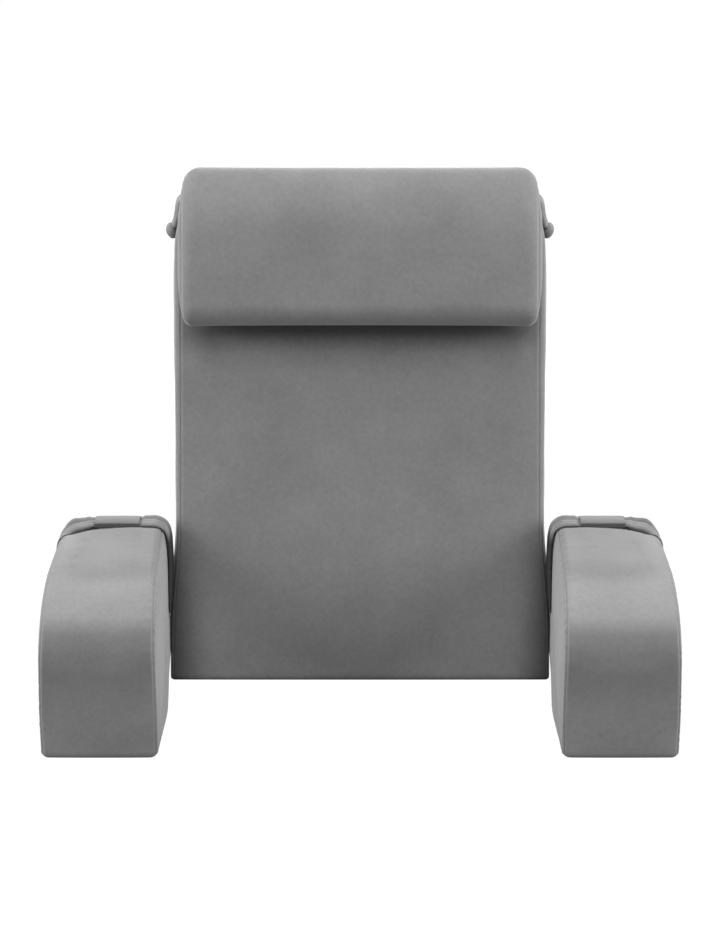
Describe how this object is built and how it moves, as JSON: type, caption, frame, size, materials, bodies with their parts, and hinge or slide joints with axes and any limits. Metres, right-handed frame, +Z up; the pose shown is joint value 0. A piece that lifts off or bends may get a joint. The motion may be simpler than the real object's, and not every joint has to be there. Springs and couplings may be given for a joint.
{
  "type": "backrest pillow",
  "caption": "Bed backrest pillow: a reclined wedge between rounded arm blocks, with a bolster headrest tied at its top and a grip strap across each arm.",
  "frame": {"origin": "on the floor, under the middle of the whole pillow", "axes": "+X to the right arm as the viewer sees it, -Y towards the viewer in front, +Z up"},
  "size_m": [0.7954, 0.4821, 0.6726],
  "materials": {
    "back_velvet": "short-pile grey velvet over foam",
    "headrest_velvet": "short-pile grey velvet over foam",
    "arm_velvet": "short-pile grey velvet over foam",
    "strap_velvet": "short-pile grey velvet, folded and sewn into a band",
    "tie_velvet": "short-pile grey velvet, folded into a tie and knotted"
  },
  "bodies": {
    "root": {"backrest": "back_velvet", "headrest": "headrest_velvet", "arm_left": "arm_velvet", "arm_right": "arm_velvet", "arm_strap_left": "strap_velvet", "arm_strap_right": "strap_velvet", "strap_keeper_left": "strap_velvet", "strap_keeper_right": "strap_velvet", "tie_left": "tie_velvet", "tie_right": "tie_velvet", "tie_knot_left": "tie_velvet", "tie_knot_right": "tie_velvet"}
  },
  "joints": []
}
